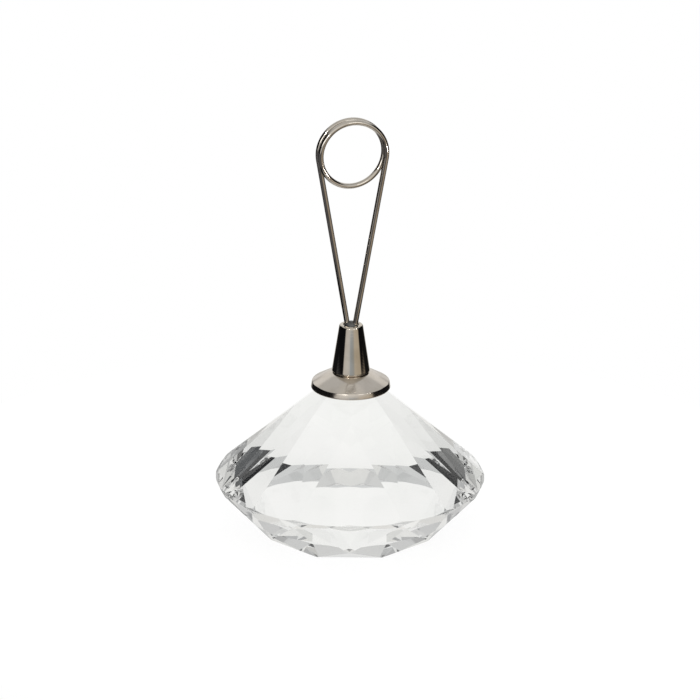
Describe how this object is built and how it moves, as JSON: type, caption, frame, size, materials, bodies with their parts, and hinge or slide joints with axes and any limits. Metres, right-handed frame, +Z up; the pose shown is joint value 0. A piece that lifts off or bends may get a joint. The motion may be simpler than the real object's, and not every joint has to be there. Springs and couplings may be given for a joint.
{
  "type": "place card holder",
  "caption": "Table place card holder: a clear faceted glass base standing on its table facet, with a chrome collar and tapered ferrule that carry a looped spring wire clip for the card.",
  "frame": {"origin": "centre of the table facet that the glass stands on", "axes": "+Z up along the axis of the glass; -Y towards the viewer and +X to the viewer's right; the loop is turned 18 degrees from facing the viewer, with its right side to the back"},
  "size_m": [0.04, 0.04, 0.0641],
  "materials": {
    "crystal_glass": "clear, cut and polished",
    "clear_adhesive": "clear, cured",
    "chrome_plate": "bright chrome plate on turned brass",
    "soft_solder": "dull grey solder",
    "spring_wire": "chrome plate on drawn spring wire"
  },
  "bodies": {
    "root": {"crystal_base": "crystal_glass", "adhesive_film": "clear_adhesive", "collar": "chrome_plate", "ferrule": "chrome_plate", "solder_fill": "soft_solder", "wire_clip": "spring_wire"}
  },
  "joints": []
}
